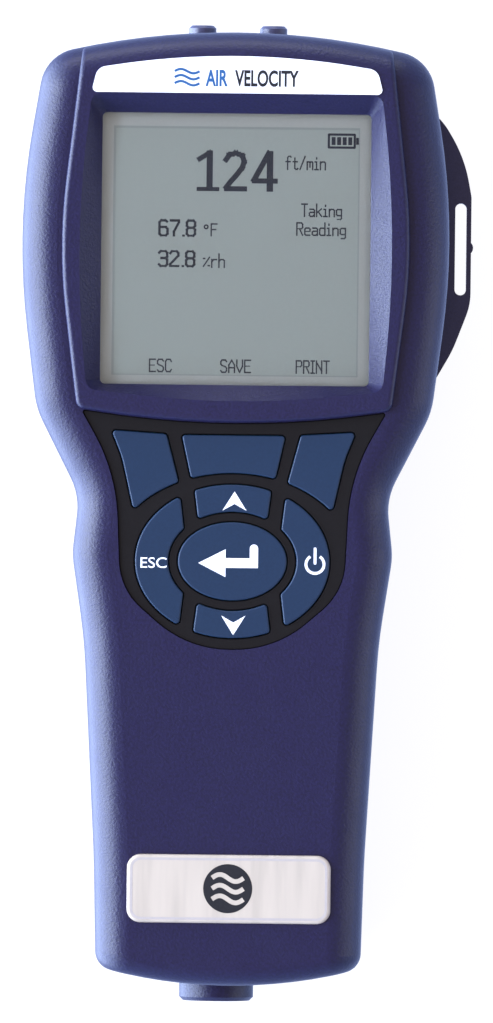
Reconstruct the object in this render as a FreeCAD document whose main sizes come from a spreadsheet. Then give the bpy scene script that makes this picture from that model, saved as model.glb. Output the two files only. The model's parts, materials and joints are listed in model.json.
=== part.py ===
import FreeCAD, Part
import math
import os
import re

from FreeCAD import Placement, Rotation, Vector

# Handheld air velocity meter lying on its back.
# X is to the right of the display, Y towards the pressure ports, Z out of the display.
# The origin is the middle of the flat back, on the meter's line of symmetry.

SIZES = [
    # the moulded case
    ("case_front", 50.5),
    ("case_wall", 2.4),
    ("parting_height", 26.0),
    ("head_half", 47.75),
    ("head_middle", 61.5),
    ("head_top_half", 41.6),
    ("head_top", 98.75),
    ("head_apex", 104.2),
    ("neck_half", 33.25),
    ("neck_middle", 3.7),
    ("handle_half", 28.65),
    ("handle_end", 98.0),
    ("handle_apex", 101.9),
    ("front_rounding", 7.5),
    ("back_rounding", 8.5),
    ("corner_rounding", 9.0),
    ("end_rounding", 4.2),
    ("inner_front_rounding", 5.1),
    ("inner_back_rounding", 6.1),
    ("inner_corner_rounding", 6.6),
    ("inner_end_rounding", 2.0),
    ("top_back_rise", 7.0),
    ("top_back_start", 70.0),
    ("top_back_bend", 84.0),
    ("top_back_end", 112.0),
    ("top_back_radius", 60.0),
    ("plateau_front", 52.3),
    ("plateau_half", 38.4),
    ("plateau_middle", 57.5),
    ("plateau_sweep", 120.0),
    ("plateau_foot_half", 34.0),
    ("plateau_foot", 22.55),
    ("plateau_foot_crest", 17.7),
    ("plateau_foot_sweep", 200.0),
    ("plateau_foot_rounding", 2.2),
    ("plateau_tip_half", 33.5),
    ("plateau_tip", 100.4),
    ("plateau_crest_drop", 0.2),
    ("plateau_rounding", 1.1),
    ("plateau_top_rounding", 6.6),
    ("seal_width", 1.0),
    ("seal_depth", 0.8),
    # the display
    ("screen_half", 29.0),
    ("screen_bottom", 27.9),
    ("screen_top", 86.5),
    ("screen_crown", 0.1),
    ("screen_crown_radius", 6000.0),
    ("screen_corner", 1.0),
    ("recess_half", 35.2),
    ("recess_middle", 58.5),
    ("recess_side_radius", 240.0),
    ("recess_foot", 23.4),
    ("recess_foot_radius", 190.0),
    ("recess_foot_half", 31.9),
    ("recess_foot_corner", 26.6),
    ("recess_head_half", 31.3),
    ("recess_head", 90.5),
    ("window_thickness", 1.2),
    ("window_lap", 2.4),
    ("gasket_height", 0.7),
    ("panel_half", 30.5),
    ("panel_thickness", 2.8),
    ("backlight_thickness", 1.5),
    ("tray_half", 33.0),
    ("tray_height", 5.8),
    ("board_bottom", 36.0),
    ("board_thickness", 1.6),
    # the keypad
    ("keypad_middle", -10.2),
    ("mat_front", 50.1),
    ("mat_flange", 1.0),
    ("key_front", 50.5),
    ("key_back", 46.8),
    ("key_clearance", 0.15),
    ("key_corner", 0.7),
    ("key_bevel", 0.35),
    ("mat_bevel", 0.3),
    ("keyboard_front", 44.8),
    ("keyboard_thickness", 1.2),
    ("dome_radius", 1.8),
    ("dome_height", 1.1),
    ("enter_half", 11.73),
    ("enter_rise", 8.44),
    ("ring_inner_half", 13.86),
    ("ring_inner_rise", 10.7),
    ("ring_outer_half", 21.0),
    ("ring_outer_rise", 16.56),
    ("soft_gap_half", 26.0),
    ("soft_gap_rise", 19.05),
    # plates
    ("plate_thickness", 0.7),
    ("plate_pocket", 0.5),
    ("badge_half", 22.0),
    ("badge_bottom", -88.3),
    ("badge_top", -73.5),
    ("badge_corner", 3.0),
    ("badge_thickness", 1.3),
    ("badge_bevel", 0.7),
    ("label_half", 21.8),
    ("label_bottom", 38.2),
    ("label_top", 69.8),
    ("label_inner", 0.3),
    ("label_outer", 0.05),
    ("label_gap", 0.2),
    # pressure ports
    ("port_spread", 7.7),
    ("port_height", 31.0),
    ("port_radius", 2.95),
    ("port_bore", 1.1),
    ("port_top", 106.0),
    ("port_shoulder", 100.5),
    ("washer_radius", 4.3),
    ("washer_thickness", 0.6),
    ("spigot_radius", 1.9),
    ("tube_radius", 2.9),
    # probe socket
    ("socket_offset", -2.5),
    ("socket_height", 27.0),
    ("collar_radius", 8.05),
    ("collar_bore", 5.5),
    ("collar_end", -105.7),
    ("collar_inner_end", -93.7),
    ("collar_flange", 10.2),
    ("collar_flange_front", -98.3),
    ("collar_flange_back", -96.3),
    ("collar_bevel", 0.8),
    ("socket_depth", 8.0),
    ("contact_radius", 0.7),
    ("contact_circle", 2.7),
    # batteries
    ("cell_radius", 7.25),
    ("cell_length", 50.5),
    ("cell_pitch", 14.8),
    ("cell_nub", 1.2),
    ("cell_nub_radius", 2.75),
    ("cell_floor", 3.0),
    ("bay_bottom", -82.8),
    ("bay_top", -25.2),
    ("holder_wall", 1.2),
    ("holder_half", 16.2),
    ("door_half", 18.5),
    ("door_top", -22.0),
    ("door_clearance", 0.2),
    ("hook_inner", 16.7),
    ("hook_root", 18.2),
    ("hook_reach", 20.2),
    ("hook_length", 8.0),
    ("hook_rise", 1.3),
    ("rib_half", 10.0),
    ("rib_start", -44.0),
    ("rib_pitch", 3.0),
    ("rib_depth", 0.5),
    # fastenings
    ("screw_radius", 1.5),
    ("screw_head", 2.8),
    ("screw_post", 4.2),
    ("screw_foot", 6.0),
    ("screw_seat", 8.4),
    ("screw_tip", 37.0),
    ("screw_hole_end", 38.5),
    ("screw_front_post", 3.2),
    ("head_screw_half", 38.3),
    ("head_screw_along", 87.5),
    ("handle_screw_half", 23.6),
    ("handle_screw_along", -88.5),
    ("board_screw_radius", 1.0),
    ("board_screw_head", 2.0),
    ("board_screw_post", 2.6),
    ("board_screw_length", 5.5),
    ("board_screw_hole_end", 44.5),
    # wrist strap bracket
    ("strap_reach", 51.2),
    ("strap_low", 19.0),
    ("strap_thickness", 4.0),
    ("strap_key", 1.2),
    ("strap_bump", 0.45),
    ("strap_bump_radius", 1.6),
    ("slot_middle", 58.2),
    ("slot_length", 20.0),
    ("slot_width", 2.5),
    ("slot_offset", 48.95),
]

document = FreeCAD.newDocument("air_meter")
sheet = document.addObject("Spreadsheet::Sheet", "sizes")
for row, (alias, value) in enumerate(SIZES, start=1):
    sheet.set("A%d" % row, alias)
    sheet.set("B%d" % row, "%g" % value)
    sheet.setAlias("B%d" % row, alias)
document.recompute()

nodes = {}


def size(alias):
    """One driving dimension."""
    return float(sheet.get(alias))


def formula(text):
    """An expression whose lower-case words with an underscore are cells of the sheet."""
    return re.sub(r"\b([a-z]+_[a-z_]+)\b", r"sizes.\1", str(text))


def bind(thing, **expressions):
    """Bind properties to the sheet; base_x, base_y and base_z are the placement."""
    for name, text in expressions.items():
        path = name
        if name.startswith("base_"):
            path = "Placement.Base." + name[-1]
        thing.setExpression(path, formula(text))
    return thing


def node(name, thing):
    """Name a finished sub-part."""
    thing.Label = name
    nodes[name] = thing
    return thing


# ---------------------------------------------------------------- building blocks


def block(name, across, along, up):
    """A box between (low, high) expressions along X, Y and Z."""
    thing = document.addObject("Part::Box", name)
    bind(thing, base_x=across[0], base_y=along[0], base_z=up[0])
    bind(thing, Length="(%s) - (%s)" % (across[1], across[0]))
    bind(thing, Width="(%s) - (%s)" % (along[1], along[0]))
    bind(thing, Height="(%s) - (%s)" % (up[1], up[0]))
    return thing


def post(name, radius, across, along, up):
    """A cylinder along Z between two heights."""
    thing = document.addObject("Part::Cylinder", name)
    bind(thing, Radius=radius, Height="(%s) - (%s)" % (up[1], up[0]))
    bind(thing, base_x=across, base_y=along, base_z=up[0])
    return thing


def less(name, base, tools):
    """The base with the tools cut away."""
    tool = tools[0]
    if len(tools) > 1:
        tool = document.addObject("Part::MultiFuse", name + "_tools")
        tool.Shapes = tools
    thing = document.addObject("Part::Cut", name)
    thing.Base = base
    thing.Tool = tool
    return thing


def joined(name, pieces):
    """Pieces fused into one solid."""
    thing = document.addObject("Part::MultiFuse", name)
    thing.Shapes = pieces
    return thing


def together(name, pieces):
    """Separate solids kept in one sub-part."""
    thing = document.addObject("Part::Compound", name)
    thing.Links = pieces
    return thing


def shaped(name, shape, place=Placement()):
    """A sub-part whose shape comes from Part's own functions."""
    thing = document.addObject("Part::Feature", name)
    thing.Shape = shape
    thing.Placement = place
    return thing


def rounded(points, closed=True):
    """Lines and tangent arcs along corner points (x, y, radius)."""
    count = len(points)
    corners = range(count) if closed else range(1, count - 1)
    curves = []
    entry = {}
    leave = {}
    for index in corners:
        x, y, radius = points[index]
        corner = Vector(x, y, 0)
        before = Vector(*points[index - 1][:2], 0) - corner
        after = Vector(*points[(index + 1) % count][:2], 0) - corner
        before.normalize()
        after.normalize()
        half = before.getAngle(after) / 2
        reach = radius / math.tan(half)
        entry[index] = corner + before * reach
        leave[index] = corner + after * reach
        inward = before + after
        inward.normalize()
        crest = corner + inward * (radius / math.sin(half) - radius)
        if radius > 0:
            curves.append((index, Part.Arc(entry[index], crest, leave[index])))
    arcs = dict(curves)
    chain = []
    for index in range(count):
        if index in arcs:
            chain.append(arcs[index])
        following = (index + 1) % count
        if not closed and following == 0:
            break
        start = leave.get(index, Vector(*points[index][:2], 0))
        end = entry.get(following, Vector(*points[following][:2], 0))
        if (end - start).Length > 0.001:
            chain.append(Part.LineSegment(start, end))
    return chain


def mirrored(points):
    """A right-hand chain of corners, from bottom to top, completed by its mirror image."""
    other = [(-x, y, radius) for x, y, radius in reversed(points) if abs(x) > 0.001]
    return points + other


def widened(points, growth):
    """The corners of an outline moved out sideways, with their radii to match."""
    count = len(points)
    turns = sum(points[i - 1][0] * points[i][1] - points[i][0] * points[i - 1][1] for i in range(count))
    outward = 1 if turns > 0 else -1
    result = []
    for index, (x, y, radius) in enumerate(points):
        here = Vector(x, y, 0)
        arriving = here - Vector(*points[index - 1][:2], 0)
        leaving = Vector(*points[(index + 1) % count][:2], 0) - here
        arriving.normalize()
        leaving.normalize()
        first = Vector(arriving.y, -arriving.x, 0) * outward
        second = Vector(leaving.y, -leaving.x, 0) * outward
        corner = here + (first + second) * (growth / (1 + first.dot(second)))
        convex = (arriving.x * leaving.y - arriving.y * leaving.x) * outward > 0
        bend = radius + growth if convex else radius - growth
        result.append((corner.x, corner.y, bend if radius else 0))
    return result


def wire(points, level=0.0):
    """A closed rounded outline at one height."""
    loop = Part.Wire([curve.toShape() for curve in rounded(points)])
    loop.translate(Vector(0, 0, level))
    return loop


def prism(points, low, high):
    """A rounded outline raised between two heights."""
    return Part.Face(wire(points, low)).extrude(Vector(0, 0, high - low))


def oval(half, rise, middle, low, high):
    """An upright elliptical prism centred on the meter's axis."""
    curve = Part.Ellipse(Vector(0, middle, low), half, rise).toShape()
    return Part.Face(Part.Wire([curve])).extrude(Vector(0, 0, high - low))


def rod(radius, across, height, start, end):
    """A solid cylinder along Y."""
    return Part.makeCylinder(radius, end - start, Vector(across, start, height), Vector(0, 1, 0))


def pin(radius, across, along, low, high):
    """A solid cylinder along Z."""
    return Part.makeCylinder(radius, high - low, Vector(across, along, low))


def brick(x_low, x_high, y_low, y_high, z_low, z_high):
    """A solid box between two corners."""
    return Part.makeBox(x_high - x_low, y_high - y_low, z_high - z_low, Vector(x_low, y_low, z_low))


def plane_of(body, role):
    """One of a body's own origin planes."""
    return [item for item in body.Origin.OriginFeatures if item.Role == role][0]


def sketch_on(body, role, name, curves):
    """A sketch of the given curves on one of the body's origin planes."""
    sketch = body.newObject("Sketcher::SketchObject", name)
    sketch.AttachmentSupport = [(plane_of(body, role), "")]
    sketch.MapMode = "FlatFace"
    for curve in curves:
        sketch.addGeometry(curve, False)
    return sketch


def slab(name, curves, low, thickness):
    """A padded plate whose height and thickness are bound to the sheet."""
    body = document.addObject("PartDesign::Body", name)
    sketch = sketch_on(body, "XY_Plane", name + "_outline", curves)
    sketch.setExpression("AttachmentOffset.Base.z", formula(low))
    pad = body.newObject("PartDesign::Pad", name + "_pad")
    pad.Profile = sketch
    bind(pad, Length=thickness)
    document.recompute()
    return body


def turned(name, profile, base, rotation=Rotation()):
    """A body of revolution about Y from (radius, position) points."""
    body = document.addObject("PartDesign::Body", name)
    corners = [(radius, along, 0) for radius, along in profile]
    sketch = sketch_on(body, "XY_Plane", name + "_profile", rounded(corners))
    spin = body.newObject("PartDesign::Revolution", name + "_spin")
    spin.Profile = sketch
    spin.ReferenceAxis = (sketch, ["V_Axis"])
    spin.Angle = 360
    body.Placement = Placement(base, rotation)
    document.recompute()
    return body


def middle_of(edge):
    """The point half way along an edge."""
    return edge.valueAt((edge.FirstParameter + edge.LastParameter) / 2)


# ---------------------------------------------------------------- the case


def side_corners(inset):
    """The right-hand outline of the case from the handle's end up to the head's shoulder."""
    return [
        (size("handle_half") - inset, -size("handle_end") + inset, 0),
        (29.25 - inset, -74.5, 300),
        (31.85 - inset, -27.5, 120),
        (34.65 - inset, -9.0, 16),
        (size("neck_half") - inset, size("neck_middle"), 14),
        (42.75 - inset, 22.4, 18),
        (size("head_half") - inset, size("head_middle"), 150),
        (size("head_top_half") - inset, size("head_top") - inset, 0),
    ]


def case_outline(inset):
    """The closed outline of the case, with its arched top and end."""
    right = side_corners(inset)
    left = [(-x, y, radius) for x, y, radius in reversed(right)]
    crest = Vector(0, size("head_apex") - inset, 0)
    trough = Vector(0, -size("handle_apex") + inset, 0)
    top = Part.Arc(Vector(*right[-1][:2], 0), crest, Vector(*left[0][:2], 0))
    end = Part.Arc(Vector(*left[-1][:2], 0), trough, Vector(*right[0][:2], 0))
    chain = rounded(right, False) + [top] + rounded(left, False) + [end]
    return Part.Wire([curve.toShape() for curve in chain])


def case_form(inset, front, back, corner, end):
    """The rounded solid form of the case, drawn in by an inset on every side."""
    low = inset
    high = size("case_front") - inset
    outline = Part.Face(case_outline(inset))
    outline.translate(Vector(0, 0, low))
    form = outline.extrude(Vector(0, 0, high - low))
    # the upper end of the back curves away from the table
    start = size("top_back_start")
    top_end = (size("top_back_end"), low + size("top_back_rise"), 0)
    slope = [(start, low, 0), (size("top_back_bend"), low, size("top_back_radius")), top_end]
    under = [(top_end[0], low - 5, 0), (start, low - 5, 0), (start, low, 0)]
    profile = rounded(slope, False) + rounded([top_end] + under, False)
    wedge = Part.Face(Part.Wire([curve.toShape() for curve in profile]))
    wedge.Placement = Placement(Vector(-60, 0, 0), Rotation(Vector(1, 1, 1), 120))
    form = form.cut(wedge.extrude(Vector(120, 0, 0)))

    def beside(edge):
        spot = middle_of(edge)
        return abs(spot.x) > 15 and -97.9 + inset < spot.y < 99.9 - inset

    def lies_at_front(edge):
        return abs(edge.BoundBox.ZMin - high) < 0.001 and beside(edge)

    def lies_at_back(edge):
        level = edge.BoundBox.ZMax < low + 8 and edge.BoundBox.XLength < 20
        return level and beside(edge)

    def stands_at_shoulder(edge):
        return edge.BoundBox.ZLength > 20 and middle_of(edge).y > 90 - inset

    def end_edges(solid):
        for face in solid.Faces:
            spot = face.CenterOfMass
            arched = isinstance(face.Surface, Part.Cylinder) and abs(face.Surface.Axis.z) > 0.99
            if arched and face.Surface.Radius > 60 and abs(spot.x) < 2 and spot.y < 0:
                return face.Edges
        return []

    form = form.makeFillet(corner, [edge for edge in form.Edges if stands_at_shoulder(edge)])
    form = form.makeFillet(front, [edge for edge in form.Edges if lies_at_front(edge)])
    form = form.makeFillet(back, [edge for edge in form.Edges if lies_at_back(edge)])
    form = form.makeFillet(end, end_edges(form))
    return form


def plateau_solid():
    """The raised bezel round the display, hollow at its foot and running over the head's top."""
    low = size("parting_height") + 14
    high = size("plateau_front")
    tip = Vector(size("plateau_tip_half"), size("plateau_tip"), 0)
    foot_corner = (size("plateau_foot_half"), size("plateau_foot"), 0)
    foot_middle = (0, size("plateau_foot_crest"), size("plateau_foot_sweep"))
    foot = rounded([(-foot_corner[0], foot_corner[1], 0), foot_middle, foot_corner], False)
    side = (size("plateau_half"), size("plateau_middle"), size("plateau_sweep"))
    right = [foot_corner, side, (tip.x, tip.y, 0)]
    left = [(-x, y, radius) for x, y, radius in reversed(right)]
    crest = size("head_apex") - size("plateau_crest_drop")
    top = Part.Arc(tip, Vector(0, crest, 0), Vector(-tip.x, tip.y, 0))
    chain = foot + rounded(right, False) + [top] + rounded(left, False)
    outline = Part.Face(Part.Wire([curve.toShape() for curve in chain]))
    outline.translate(Vector(0, 0, low))
    solid = outline.extrude(Vector(0, 0, high - low))
    corners = [edge for edge in solid.Edges
               if edge.BoundBox.ZLength > 2 and middle_of(edge).y < 30 and abs(middle_of(edge).x) > 33]
    solid = solid.makeFillet(size("plateau_foot_rounding"), corners)

    def rim(upper):
        front = [edge for edge in solid.Edges if edge.BoundBox.ZMin > high - 0.001]
        return [edge for edge in front if (abs(edge.BoundBox.YMax - crest) < 0.01) == upper]

    solid = solid.makeFillet(size("plateau_top_rounding"), rim(True))
    return solid.makeFillet(size("plateau_rounding"), rim(False))


def recess_solid():
    """The drafted well that leads down to the display."""
    low = size("case_front") - size("case_wall")
    high = size("plateau_front")
    half = size("screen_half")
    bottom = size("screen_bottom")
    top = size("screen_top")
    crown = size("screen_crown")
    sweep = size("screen_crown_radius")
    corner = size("screen_corner")
    inner = mirrored([
        (0, bottom - crown, sweep),
        (half, bottom, corner),
        (half + crown, (bottom + top) / 2, sweep),
        (half, top, corner),
    ])
    outer = mirrored([
        (0, size("recess_foot"), size("recess_foot_radius")),
        (size("recess_foot_half"), size("recess_foot_corner"), 2.6),
        (size("recess_half"), size("recess_middle"), size("recess_side_radius")),
        (size("recess_head_half"), size("recess_head"), 2.2),
    ])
    return Part.makeLoft([wire(inner, low - 0.01), wire(outer, high)], True, True)


def mat_corners():
    """The keypad's outline, from its hollow top edge down to a rounded bowl."""
    return mirrored([
        (9.5, -29.3, 24),
        (24.2, -16.5, 14),
        (25.3, 8.6, 40),
        (33.1, 22.35, 0.5),
        (0, 17.6, 200),
    ])


def screw_places():
    """Where the case screws stand."""
    head = [(side * size("head_screw_half"), size("head_screw_along")) for side in (-1, 1)]
    handle = [(side * size("handle_screw_half"), size("handle_screw_along")) for side in (-1, 1)]
    return head + handle


def board_screw_places():
    """Where the board is screwed to the front shell."""
    return [(-37.4, 40.0), (37.4, 40.0), (-21.5, -44.0), (21.5, -44.0)]


outer_form = case_form(0, size("front_rounding"), size("back_rounding"),
                       size("corner_rounding"), size("end_rounding"))
inner_form = case_form(size("case_wall"), size("inner_front_rounding"), size("inner_back_rounding"),
                       size("inner_corner_rounding"), size("inner_end_rounding"))
parting = size("parting_height")
front_half = brick(-60, 60, -120, 120, parting, 70)
rear_half = brick(-60, 60, -120, 120, -5, parting)
socket_x = size("socket_offset")
socket_z = size("socket_height")
socket_hole = rod(size("collar_radius") + 0.1, socket_x, socket_z, -110, -96)
port_holes = [rod(size("port_radius") + 0.1, side * size("port_spread"), size("port_height"), 98, 110)
              for side in (-1, 1)]


def case_block(inset, height):
    """The case's outline raised by a height, with its upright corners rounded."""
    solid = Part.Face(case_outline(inset)).extrude(Vector(0, 0, height))

    def upright(low, high):
        return [edge for edge in solid.Edges if edge.BoundBox.XLength < 0.001
                and edge.BoundBox.YLength < 0.001 and low < middle_of(edge).y < high]

    solid = solid.makeFillet(size("corner_rounding") - inset, upright(90 - inset, 120))
    return solid.makeFillet(size("end_rounding") - inset, upright(-120, -96))


def seal_ring(low, high):
    """A band that follows the case's wall between two heights."""
    middle = size("case_wall") / 2
    reach = size("seal_width") / 2
    outside = case_block(middle - reach, high - low)
    inside = case_block(middle + reach, high - low)
    ring = outside.cut(inside)
    ring.translate(Vector(0, 0, low))
    return ring


def strap_corners():
    """The wrist strap bracket's outline beside the head."""
    reach = size("strap_reach")
    return [(38.0, 90.6, 0), (44.2, 87.1, 14), (49.6, 78.1, 30), (reach, 69.6, 4),
            (reach, 46.1, 14), (47.4, 36.1, 30), (42.8, 28.1, 10), (36.0, 24.6, 0)]


def strap_solid():
    """The bracket, keyed a little way into the case wall, with its strap slot."""
    low = size("strap_low")
    high = low + size("strap_thickness")
    keyed = case_block(size("strap_key"), 60)
    bracket = prism(strap_corners(), low, high).cut(keyed)
    half = size("slot_width") / 2
    slot_x = size("slot_offset")
    ends = [size("slot_middle") + side * size("slot_length") / 2 for side in (-1, 1)]
    corners = [(slot_x - half, ends[0], half * 0.99), (slot_x + half, ends[0], half * 0.99),
               (slot_x + half, ends[1], half * 0.99), (slot_x - half, ends[1], half * 0.99)]
    bracket = bracket.cut(prism(corners, low - 1, high + 1))
    bump_radius = size("strap_bump_radius")
    bump_x = size("strap_reach") + size("strap_bump") - bump_radius
    bracket = bracket.fuse(pin(bump_radius, bump_x, size("slot_middle") + 0.3, low, high)
                           .cut(prism(corners, low - 1, high + 1)))
    return max(bracket.Solids, key=lambda solid: solid.Volume)


strap = strap_solid()
mat_front = size("mat_front")
wall_back = size("case_front") - size("case_wall")
keyboard_front = size("keyboard_front")


def front_shell():
    """The front moulding with its bezel, display well, keypad opening and screw posts."""
    shell = outer_form.fuse(plateau_solid()).cut(inner_form).common(front_half)
    root = wall_back + 0.5
    posts = [pin(size("screw_front_post"), x, y, parting, root) for x, y in screw_places()]
    board_post = size("board_bottom") + size("board_thickness")
    posts += [pin(size("board_screw_post"), x, y, board_post, root) for x, y in board_screw_places()]
    posts = [item.common(outer_form) for item in posts]
    shell = shell.fuse(posts)
    tools = [recess_solid()]
    tools.append(prism(mat_corners(), wall_back - 1, size("case_front") + 0.001))
    tools += [pin(size("screw_radius"), x, y, parting - 1, size("screw_hole_end"))
              for x, y in screw_places()]
    tools += [pin(size("board_screw_radius"), x, y, board_post - 1, size("board_screw_hole_end"))
              for x, y in board_screw_places()]
    tools += port_holes
    tools.append(socket_hole)
    tools.append(prism(name_corners(), size("plateau_front") - size("plate_pocket"), 60))
    tools.append(prism(badge_corners(), size("case_front") - size("plate_pocket"), 60))
    tools += side_socket_holes()
    shell = shell.cut(tools)
    return max(shell.Solids, key=lambda solid: solid.Volume)


def rear_shell():
    """The rear moulding with its battery opening, seal groove and screw posts."""
    shell = outer_form.cut(inner_form).common(rear_half)
    posts = [pin(size("screw_post"), x, y, 0, parting) for x, y in screw_places()]
    shell = shell.fuse([item.common(outer_form).common(rear_half) for item in posts])
    door = size("door_half") + size("door_clearance")
    top = size("door_top") + size("door_clearance")
    tools = [brick(-door, door, -115, top, -1, size("case_wall") + size("door_clearance"))]
    for x, y in screw_places():
        tools.append(pin(size("screw_head") + 0.3, x, y, -1, size("screw_seat")))
        tools.append(pin(size("screw_radius") + 0.2, x, y, 8, parting + 1))
    tools.append(seal_ring(parting - size("seal_depth"), parting + 1))
    tools.append(socket_hole)
    tools.append(strap)
    gap = size("label_gap")
    label = size("label_half") + gap
    tools.append(brick(-label, label, size("label_bottom") - gap, size("label_top") + gap,
                       -1, size("label_inner")))
    shell = shell.cut(tools)
    return max(shell.Solids, key=lambda solid: solid.Volume)


def side_socket_holes():
    """The two openings in the left wall, for the data socket and the power jack."""
    return [brick(-50, -36, 55.6, 64.4, 31.4, 36.0), brick(-50, -36, 71.5, 81.5, 26.8, 36.0)]


def name_corners():
    """The curved name plate above the display."""
    return mirrored([(31.5, 90.75, 1.0), (30.2, 96.05, 2.6), (0, 100.75, 165)])


def badge_corners():
    """The badge at the foot of the handle."""
    half = size("badge_half")
    low = size("badge_bottom")
    high = size("badge_top")
    corner = size("badge_corner")
    return [(-half, low, corner), (half, low, corner), (half, high, corner), (-half, high, corner)]


node("front_shell", shaped("front_shell_form", front_shell()))
node("rear_shell", shaped("rear_shell_form", rear_shell()))
seal = seal_ring(parting - size("seal_depth"), parting).cut(socket_hole)
node("case_seal", shaped("case_seal_form", seal))
node("strap_bracket", shaped("strap_bracket_form", strap))
node("rating_label", block("rating_label_plate", ("-label_half", "label_half"),
                           ("label_bottom", "label_top"), ("label_outer", "label_inner")))


# ---------------------------------------------------------------- plates


def plates():
    """The name plate and the domed badge."""
    level = "plateau_front - plate_pocket"
    node("name_plate", slab("name_plate_body", rounded(name_corners()), level, "plate_thickness"))
    badge = slab("badge_plate_body", rounded(badge_corners()), "case_front - plate_pocket", "badge_thickness")
    pad = badge.Tip
    bevel = badge.newObject("PartDesign::Fillet", "badge_bevel")
    top = [index for index, edge in enumerate(pad.Shape.Edges, start=1)
           if edge.BoundBox.ZMin > size("case_front") + size("plate_pocket")]
    bevel.Base = (pad, ["Edge%d" % index for index in top])
    bind(bevel, Radius="badge_bevel")
    badge.Tip = bevel
    node("badge_plate", badge)


plates()


# ---------------------------------------------------------------- the display


def display():
    """Window, gasket, glass, backlight, tray and ribbon, from front to back."""
    window_back = "case_front - case_wall - window_thickness"
    glass_front = "%s - gasket_height" % window_back
    glass_back = "%s - panel_thickness" % glass_front
    light_back = "%s - backlight_thickness" % glass_back
    lap = ("-screen_half - window_lap", "screen_half + window_lap")
    rise = ("screen_bottom - window_lap", "screen_top + window_lap")
    glazing = block("window_glazing", lap, rise, (window_back, "case_front - case_wall"))
    node("display_window", glazing)
    foam = block("gasket_foam", lap, rise, (glass_front, window_back))
    view = ("-screen_half - 0.4", "screen_half + 0.4")
    view_rise = ("screen_bottom - 0.4", "screen_top + 0.4")
    eye = block("gasket_eye", view, view_rise, (glass_front + " - 1", window_back + " + 1"))
    node("display_gasket", less("gasket_ring", foam, [eye]))
    wide = ("-panel_half", "panel_half")
    tall = ("screen_bottom - 1.5", "screen_top + 1.5")
    node("lcd_panel", block("lcd_glass", wide, tall, (glass_back, glass_front)))
    node("lcd_backlight", block("lcd_light", wide, tall, (light_back, glass_back)))
    tray_wide = ("-tray_half", "tray_half")
    tray_tall = ("screen_bottom - 4.2", "screen_top + 4.2")
    tray = block("tray_outside", tray_wide, tray_tall, (glass_front + " - tray_height", glass_front))
    well = block("tray_well", wide, tall, (light_back, glass_front + " + 1"))
    floor = "board_bottom + board_thickness"
    feet = [post("tray_foot_%d" % index, "2", str(x), str(y), (floor, glass_front + " - tray_height"))
            for index, (x, y) in enumerate([(-29, 28), (29, 28), (-29, 86), (29, 86)])]
    hollow = less("tray_hollow", tray, [well])
    node("lcd_frame", joined("lcd_tray", [hollow] + feet))
    ribbon = block("display_ribbon", ("-8", "8"), ("screen_bottom - 4.6", "screen_bottom - 4.3"),
                   (floor, "44.0"))
    node("display_cable", ribbon)


display()


# ---------------------------------------------------------------- the keypad


def sector_edge(side):
    """The field of a side key within the ring of keys."""
    middle = size("keypad_middle")
    return [(side * 30, middle + 22, 0), (side * 12.3, middle + 22, 0), (side * 9.7, middle, 0),
            (side * 12.3, middle - 22, 0), (side * 30, middle - 22, 0)]


def arrow_field(sign):
    """The field of the up or down key within the ring."""
    middle = size("keypad_middle")
    return [(-8.9, middle + sign * 20, 0), (8.9, middle + sign * 20, 0),
            (7.1, middle + sign * 6, 0), (-7.1, middle + sign * 6, 0)]


def soft_field(side):
    """The field of one of the outer soft keys."""
    return [(side * 14.5, 17.15, 0), (side * 26.4, 17.9, 0), (side * 24.0, 11.9, 24),
            (side * 20.8, -2.4, 0), (side * 9.3, -2.4, 0)]


def key_blank(name, growth):
    """The upright prism of one key, grown sideways by a clearance."""
    middle = size("keypad_middle")
    low = keyboard_front - 10 * growth
    high = size("key_front") + 10 * growth

    def disc(half, rise, change):
        return oval(size(half) + change, size(rise) + change, middle, low, high)

    def field(points):
        return prism(widened(points, growth), low, high)

    if name == "key_enter":
        return disc("enter_half", "enter_rise", growth)
    if name in ("key_soft_left", "key_soft_right"):
        blank = field(soft_field(-1 if name.endswith("left") else 1))
        return blank.cut(disc("soft_gap_half", "soft_gap_rise", -growth)).Solids[0]
    if name == "key_soft_center":
        blank = field([(-11.2, 17.0, 0), (11.2, 17.0, 0), (8.3, 4.0, 0), (-8.3, 4.0, 0)])
        return blank.cut(disc("soft_gap_half", "soft_gap_rise", -growth)).Solids[0]
    fields = {
        "key_escape": sector_edge(-1),
        "key_power": sector_edge(1),
        "key_up": arrow_field(1),
        "key_down": arrow_field(-1),
    }
    ring = disc("ring_outer_half", "ring_outer_rise", growth)
    ring = ring.cut(disc("ring_inner_half", "ring_inner_rise", -growth))
    return ring.common(field(fields[name])).Solids[0]


def key_names():
    """The keys, in the order of their switches."""
    soft = ["key_soft_left", "key_soft_center", "key_soft_right"]
    return soft + ["key_up", "key_escape", "key_enter", "key_power", "key_down"]


def upright_edges(solid):
    """The edges that stand along Z at a solid's corners."""
    return [edge for edge in solid.Edges
            if edge.BoundBox.ZLength > 1 and edge.BoundBox.XLength + edge.BoundBox.YLength < 0.01]


def footprint(name, growth):
    """The upright prism of one key with its corners rounded."""
    blank = key_blank(name, growth)
    if name == "key_enter":
        return blank
    return blank.makeFillet(size("key_corner") + growth, upright_edges(blank)).Solids[0]


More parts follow.
